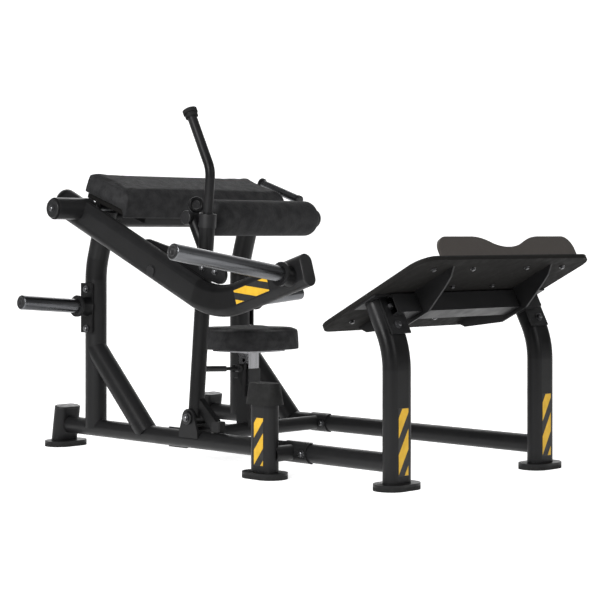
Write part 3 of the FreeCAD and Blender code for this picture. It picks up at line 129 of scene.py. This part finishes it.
middle = (cad_low + cad_high) / 2
area_light("key_light", (1.2, -5.0, 2.9), middle, 2.4, 260)
area_light("fill_light", (5.0, 1.0, 2.6), middle, 3.0, 70)
area_light("top_light", (-0.3, 0.2, 5.2), middle, 3.0, 10)
area_light("back_light", (-4.5, 3.5, 3.5), middle, 3.0, 35)

world = bpy.data.worlds.new("studio")
world.use_nodes = True
world.node_tree.nodes["Background"].inputs["Color"].default_value = (1, 1, 1, 1)
world.node_tree.nodes["Background"].inputs["Strength"].default_value = 0.17
scene.world = world
scene.view_settings.view_transform = "Standard"


# ---- materials --------------------------------------------------------------------------


class Finish:
    """A procedural material built up from noise layers around a Principled shader."""

    def __init__(self, name, roughness, metallic=0.0, **sockets):
        self.material = bpy.data.materials.new(name)
        self.material.use_nodes = True
        self.tree = self.material.node_tree
        self.shader = self.tree.nodes["Principled BSDF"]
        self.shader.inputs["Metallic"].default_value = metallic
        self.shader.inputs["Roughness"].default_value = roughness
        for socket, value in sockets.items():
            self.shader.inputs[socket.replace("_", " ")].default_value = value
        self.place = self.add("ShaderNodeTexCoord").outputs["Object"]

    def add(self, kind, **properties):
        made = self.tree.nodes.new(kind)
        for name, value in properties.items():
            setattr(made, name, value)
        return made

    def link(self, source, target):
        self.tree.links.new(source, target)

    def noise(self, scale, detail=4.0, rough=0.55, stretch=None):
        made = self.add("ShaderNodeTexNoise")
        made.inputs["Scale"].default_value = scale
        made.inputs["Detail"].default_value = detail
        made.inputs["Roughness"].default_value = rough
        source = self.place
        if stretch:
            mapping = self.add("ShaderNodeMapping")
            mapping.inputs["Scale"].default_value = stretch
            self.link(self.place, mapping.inputs["Vector"])
            source = mapping.outputs["Vector"]
        self.link(source, made.inputs["Vector"])
        return made.outputs["Fac"]

    def cells(self, scale, feature="DISTANCE_TO_EDGE"):
        made = self.add("ShaderNodeTexVoronoi", feature=feature)
        made.inputs["Scale"].default_value = scale
        self.link(self.place, made.inputs["Vector"])
        return made.outputs["Distance"]

    def ramp(self, source, low, high, start=0.35, end=0.65):
        """Maps a grey source between two values, or between two colours."""
        if isinstance(low, tuple):
            made = self.add("ShaderNodeValToRGB")
            made.color_ramp.elements[0].position = start
            made.color_ramp.elements[1].position = end
            made.color_ramp.elements[0].color = (*low, 1)
            made.color_ramp.elements[1].color = (*high, 1)
            self.link(source, made.inputs["Fac"])
            return made.outputs["Color"]
        made = self.add("ShaderNodeMapRange")
        for socket, value in (("From Min", start), ("From Max", end), ("To Min", low),
                              ("To Max", high)):
            made.inputs[socket].default_value = value
        self.link(source, made.inputs["Value"])
        return made.outputs["Result"]

    def edges(self, source, spread, worn):
        """Blends a worn colour in where the surface is sharply convex."""
        pointiness = self.add("ShaderNodeNewGeometry").outputs["Pointiness"]
        wear = self.ramp(pointiness, 0.0, 1.0, 0.5 + spread, 0.5 + 2.4 * spread)
        mix = self.add("ShaderNodeMix", data_type="RGBA")
        self.link(wear, mix.inputs["Factor"])
        self.link(source, mix.inputs["A"])
        mix.inputs["B"].default_value = (*worn, 1)
        return mix.outputs["Result"]

    def colour(self, source):
        self.link(source, self.shader.inputs["Base Color"])

    def roughness(self, source):
        self.link(source, self.shader.inputs["Roughness"])

    def bump(self, source, strength, distance, under=None):
        made = self.add("ShaderNodeBump")
        made.inputs["Strength"].default_value = strength
        made.inputs["Distance"].default_value = distance
        self.link(source, made.inputs["Height"])
        if under:
            self.link(under, made.inputs["Normal"])
        self.link(made.outputs["Normal"], self.shader.inputs["Normal"])
        return made.outputs["Normal"]


def powder_coat():
    finish = Finish("powder_coat_black", 0.36, Specular_IOR_Level=0.16)
    mottled = finish.ramp(finish.noise(9.0), (0.0026, 0.0026, 0.0028), (0.0046, 0.0046, 0.005))
    finish.colour(finish.edges(mottled, 0.03, (0.012, 0.012, 0.0125)))
    finish.roughness(finish.ramp(finish.noise(24.0), 0.32, 0.44))
    flow = finish.bump(finish.noise(160.0, 2.0), 0.10, 0.0006)
    finish.bump(finish.noise(1400.0, 2.0), 0.12, 0.00015, flow)
    return finish.material


def vinyl():
    finish = Finish("vinyl_black", 0.65, Specular_IOR_Level=0.08)
    tone = finish.ramp(finish.noise(30.0), (0.020, 0.020, 0.021), (0.034, 0.034, 0.035))
    finish.colour(tone)
    finish.roughness(finish.ramp(finish.noise(60.0), 0.6, 0.74))
    soft = finish.bump(finish.noise(22.0, 3.0), 0.10, 0.004)
    grain = finish.bump(finish.noise(120.0, 3.0, 0.6), 0.6, 0.004, soft)
    finish.bump(finish.cells(330.0), 0.4, 0.0008, grain)
    return finish.material


def rubber():
    finish = Finish("rubber_black", 0.75, Specular_IOR_Level=0.25)
    finish.colour(finish.ramp(finish.noise(18.0), (0.006, 0.006, 0.006),
                              (0.011, 0.011, 0.011)))
    finish.roughness(finish.ramp(finish.noise(40.0), 0.66, 0.86))
    finish.bump(finish.noise(500.0, 3.0), 0.3, 0.0004)
    return finish.material


def plastic():
    finish = Finish("plastic_black", 0.42, Specular_IOR_Level=0.35)
    finish.colour(finish.ramp(finish.noise(14.0), (0.006, 0.006, 0.0065),
                              (0.010, 0.010, 0.011)))
    finish.roughness(finish.ramp(finish.noise(55.0), 0.34, 0.5))
    finish.bump(finish.noise(900.0, 2.0), 0.18, 0.0002)
    return finish.material


def steel(name, low, high, roughness, stretch, scratch):
    finish = Finish(name, roughness, metallic=1.0)
    tone = finish.ramp(finish.noise(90.0, 3.0, 0.5, stretch), low, high)
    finish.colour(tone)
    finish.roughness(finish.ramp(finish.noise(35.0, stretch=stretch), roughness - 0.03,
                                 roughness + 0.04))
    finish.bump(finish.noise(420.0, 3.0, 0.6, stretch), scratch, 0.00025)
    return finish.material


def board():
    finish = Finish("board_black", 0.6, Specular_IOR_Level=0.02)
    tone = finish.ramp(finish.noise(16.0), (0.0009, 0.0009, 0.0010), (0.0016, 0.0016, 0.0016))
    finish.colour(finish.edges(tone, 0.03, (0.014, 0.0135, 0.013)))
    finish.roughness(finish.ramp(finish.noise(28.0), 0.52, 0.7))
    finish.bump(finish.noise(700.0, 3.0), 0.2, 0.0003)
    return finish.material


def fence():
    finish = Finish("fence_brown", 0.5, Specular_IOR_Level=0.25)
    tone = finish.ramp(finish.noise(12.0), (0.0055, 0.0046, 0.0041), (0.008, 0.0067, 0.006))
    finish.colour(finish.edges(tone, 0.03, (0.05, 0.044, 0.04)))
    finish.roughness(finish.ramp(finish.noise(24.0), 0.38, 0.52))
    finish.bump(finish.noise(1100.0, 2.0), 0.15, 0.0002)
    return finish.material


finishes = {
    "powder_black": powder_coat(),
    "vinyl_black": vinyl(),
    "rubber_black": rubber(),
    "plastic_black": plastic(),
    "horn_steel": steel("horn_steel", (0.125, 0.128, 0.135), (0.155, 0.158, 0.166), 0.27,
                        (1, 0.05, 1), 0.04),
    "bolt_zinc": steel("bolt_zinc", (0.11, 0.11, 0.115), (0.17, 0.17, 0.175), 0.32,
                       (1, 1, 1), 0.1),
    "chrome": steel("chrome", (0.24, 0.24, 0.25), (0.30, 0.30, 0.31), 0.2, (1, 1, 0.05), 0.02),
    "board_black": board(),
    "fence_brown": fence(),
}
for part in frame["record"]["subparts"]:
    data = nodes[part["node"]].data
    data.materials.clear()
    data.materials.append(finishes[part["material_slot"]])


# ---- padded pieces ----------------------------------------------------------------------


def padded_form(name, node, voxel, inset, pressure, cap, held):
    """Foam pad swollen by pressure from a smaller copy of its solid, held where held() says."""
    data = nodes[node].data.copy()
    data.name = name
    piece = bpy.data.objects.new(name, data)
    scene.collection.objects.link(piece)
    shape = bmesh.new()
    shape.from_mesh(data)
    bmesh.ops.remove_doubles(shape, verts=shape.verts, dist=0.0002)
    bmesh.ops.recalc_face_normals(shape, faces=shape.faces)
    shape.to_mesh(data)
    shape.free()
    bpy.context.view_layer.objects.active = piece
    piece.select_set(True)
    remesh = piece.modifiers.new("even_mesh", "REMESH")
    remesh.mode = "VOXEL"
    remesh.voxel_size = voxel
    bpy.ops.object.modifier_apply(modifier=remesh.name)
    soften = piece.modifiers.new("soften", "SMOOTH")
    soften.factor = 0.6
    soften.iterations = 6
    bpy.ops.object.modifier_apply(modifier=soften.name)
    shape = bmesh.new()
    shape.from_mesh(piece.data)
    shape.normal_update()
    for vertex in shape.verts:
        vertex.co -= vertex.normal * inset
    shape.to_mesh(piece.data)
    shape.free()
    swell(piece, pressure, cap, held)
    finer = piece.modifiers.new("finer", "SUBSURF")
    finer.levels = finer.render_levels = 1
    for face in piece.data.polygons:
        face.use_smooth = True
    piece.select_set(False)
    piece.data.materials.clear()
    return piece


def swell(piece, pressure, cap, held):
    """Blows the cover up with cloth and keeps each point within cap of its start."""
    start = [vertex.co.copy() for vertex in piece.data.vertices]
    group = piece.vertex_groups.new(name="held")
    for vertex in piece.data.vertices:
        if held(vertex.co):
            group.add([vertex.index], 1.0, "REPLACE")
    cloth = piece.modifiers.new("cover", "CLOTH")
    cloth.settings.quality = 5
    cloth.settings.mass = 0.4
    cloth.settings.tension_stiffness = 18
    cloth.settings.compression_stiffness = 18
    cloth.settings.shear_stiffness = 8
    cloth.settings.bending_stiffness = 2.0
    cloth.settings.use_pressure = True
    cloth.settings.uniform_pressure_force = pressure
    cloth.settings.effector_weights.gravity = 0
    cloth.settings.vertex_group_mass = group.name
    cloth.point_cache.frame_start = 1
    cloth.point_cache.frame_end = 20
    for step in range(1, 21):
        scene.frame_set(step)
    bpy.ops.object.modifier_apply(modifier=cloth.name)
    scene.frame_set(1)
    for vertex, first in zip(piece.data.vertices, start):
        shift = vertex.co - first
        if shift.length > cap:
            vertex.co = first + shift.normalized() * cap
    piece.vertex_groups.clear()


def dress(piece, body, finish):
    """Gives a made piece its material and the body it rides on."""
    piece.data.materials.append(finishes[finish])
    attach(piece, body)


seat_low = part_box("seat_cushion")[0]
seat_pad = padded_form("seat_pad", "seat_cushion", 0.006, 0.003, 4.0, 0.005,
                       lambda point: point.z < seat_low.z + 0.008)
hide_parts("seat_cushion")
dress(seat_pad, "seat", "vinyl_black")

pad_fall = math.radians(18.2)
pad_up = Vector((math.sin(pad_fall), 0, math.cos(pad_fall)))
board_points = [vertex.co for vertex in nodes["back_pad_board"].data.vertices]
pad_base = max(point.dot(pad_up) for point in board_points)
back_cushion = padded_form("back_cushion", "back_pad", 0.006, 0.003, 4.0, 0.005,
                           lambda point: point.dot(pad_up) < pad_base + 0.008)
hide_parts("back_pad")
dress(back_cushion, "frame", "vinyl_black")

roll_low, roll_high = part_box("roller_cushion")
roll_centre = (roll_low + roll_high) / 2
core_low, core_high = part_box("roller_core")
core_radius = (core_high.z - core_low.z) / 2
roller_pad = padded_form("roller_pad", "roller_cushion", 0.006, 0.0005, 3.0, 0.002,
                         lambda point: math.hypot(point.x - roll_centre.x,
                                                  point.z - roll_centre.z)
                         < core_radius + 0.006)
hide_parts("roller_cushion")
dress(roller_pad, "roller", "vinyl_black")


# ---- hazard stripes ---------------------------------------------------------------------


def stripe_material(name, low, high):
    finish = Finish(name, 0.4, Specular_IOR_Level=0.35)
    finish.colour(finish.ramp(finish.noise(40.0), low, high))
    finish.roughness(finish.ramp(finish.noise(70.0), 0.34, 0.5))
    finish.bump(finish.noise(600.0, 2.0), 0.12, 0.0002)
    return finish.material


stripe_yellow = stripe_material("hazard_yellow", (0.55, 0.32, 0.012), (0.64, 0.38, 0.02))
stripe_black = stripe_material("hazard_black", (0.006, 0.006, 0.006), (0.012, 0.012, 0.011))


def clip(points, level, keep_above):
    """Part of a flat outline above, or below, a height."""
    kept = []
    for here, after in zip(points, points[1:] + points[:1]):
        inside = (here[1] >= level) == keep_above
        if inside:
            kept.append(here)
        if inside != ((after[1] >= level) == keep_above):
            share = (level - here[1]) / (after[1] - here[1])
            kept.append((here[0] + share * (after[0] - here[0]), level))
    return kept


def hazard(name, body, corner, right, up, size, pitch, rise, first):
    """Sticker with slanted stripes; rise is the stripe's climb across the sticker."""
    right, up = Vector(right).normalized(), Vector(up).normalized()
    out = right.cross(up)
    width, height = size
    shape = bmesh.new()

    def panel(outline, lift, index):
        if len(outline) < 3:
            return
        low = [shape.verts.new(corner + right * u + up * v) for u, v in outline]
        high = [shape.verts.new(corner + right * u + up * v + out * lift) for u, v in outline]
        faces = [shape.faces.new(high), shape.faces.new(low[::-1])]
        for k in range(len(outline)):
            after = (k + 1) % len(outline)
            faces.append(shape.faces.new((low[k], low[after], high[after], high[k])))
        for face in faces:
            face.material_index = index

    panel([(0, 0), (width, 0), (width, height), (0, height)], 0.0004, 1)
    margin = 0.0015
    level = first - 3 * pitch
    while level < height + abs(rise):
        band = [(margin, level), (width - margin, level + rise),
                (width - margin, level + rise + 0.55 * pitch), (margin, level + 0.55 * pitch)]
        panel(clip(clip(band, margin, True), height - margin, False), 0.0007, 0)
        level += pitch
    data = bpy.data.meshes.new(name)
    shape.to_mesh(data)
    shape.free()
    sticker = bpy.data.objects.new(name, data)
    scene.collection.objects.link(sticker)
    data.materials.append(stripe_yellow)
    data.materials.append(stripe_black)
    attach(sticker, body)


far_rail_low, far_rail_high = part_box("far_rail")
rail_side = (far_rail_low.y + far_rail_high.y) / 2
leg_station = 0.806
leg_half_depth = 0.027
sticker_gap = 0.0002
leg_face = leg_station + leg_half_depth + sticker_gap
for side_name, side in (("near", -1), ("far", 1)):
    hazard(side_name + "_leg_stripes", "frame",
           Vector((leg_face, side * rail_side - 0.023, 0.042)), (0, 1, 0), (0, 0, 1),
           (0.046, 0.204), 0.110, 0.075, 0.005)
post_station = 0.342
post_sticker_width = 0.044
post_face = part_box("bumper_post")[0].y
hazard("post_stripes", "frame",
       Vector((post_station - post_sticker_width / 2, post_face - sticker_gap, 0.040)),
       (1, 0, 0), (0, 0, 1), (post_sticker_width, 0.152), 0.085, 0.055, 0.002)
lever_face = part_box("lever_beam")[0].y
lever_rise = math.radians(17.2)
short_run = Vector((math.cos(lever_rise), 0, math.sin(lever_rise)))
short_up = Vector((-math.sin(lever_rise), 0, math.cos(lever_rise)))
stripe_corner = Vector((0.239, lever_face - sticker_gap, 0.542))
hazard("lever_stripes", "weight_lever", stripe_corner, short_run, short_up, (0.160, 0.048),
       0.053, -0.065, 0.041)


# ---- small trim -------------------------------------------------------------------------


def ring_mesh(name, body, centre, axis, rows, material, steps=64):
    """Turned piece about an axis from (radius, distance) rows."""
    axis = Vector(axis).normalized()
    side = axis.orthogonal().normalized()
    other = axis.cross(side)
    shape = bmesh.new()
    loops = []
    for radius, along in rows:
        loops.append([shape.verts.new(centre + axis * along
                                      + side * (radius * math.cos(2 * math.pi * k / steps))
                                      + other * (radius * math.sin(2 * math.pi * k / steps)))
                      for k in range(steps)])
    for low, high in zip(loops, loops[1:]):
        for k in range(steps):
            after = (k + 1) % steps
            shape.faces.new((low[k], low[after], high[after], high[k]))
    shape.faces.new(loops[0][::-1])
    shape.faces.new(loops[-1])
    bmesh.ops.recalc_face_normals(shape, faces=shape.faces)
    data = bpy.data.meshes.new(name)
    shape.to_mesh(data)
    shape.free()
    for face in data.polygons:
        face.use_smooth = len(face.vertices) == 4
    piece = bpy.data.objects.new(name, data)
    scene.collection.objects.link(piece)
    data.materials.append(material)
    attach(piece, body)
    return piece


dark_tip = stripe_material("horn_end", (0.010, 0.010, 0.011), (0.018, 0.018, 0.019))
for mount in frame["record"]["mounts"]:
    if not mount["name"].endswith("horn"):
        continue
    body = "weight_lever" if mount["name"] == "load_horn" else "frame"
    axis = Vector(mount["axis"])
    tip = (Vector(mount["pos_m"])
           + axis * (mount["dims"]["length_mm"] / 2000 + 0.003))
    ring_mesh(mount["name"] + "_end_disc", body, tip, axis,
              [(0.0212, -0.001), (0.0212, 0.0012), (0.0196, 0.0024), (0.0192, 0.0012),
               (0.0130, 0.0012), (0.0120, 0.0022), (0.0085, 0.0022), (0.0075, 0.0012),
               (0.0040, 0.0012)],
              dark_tip)
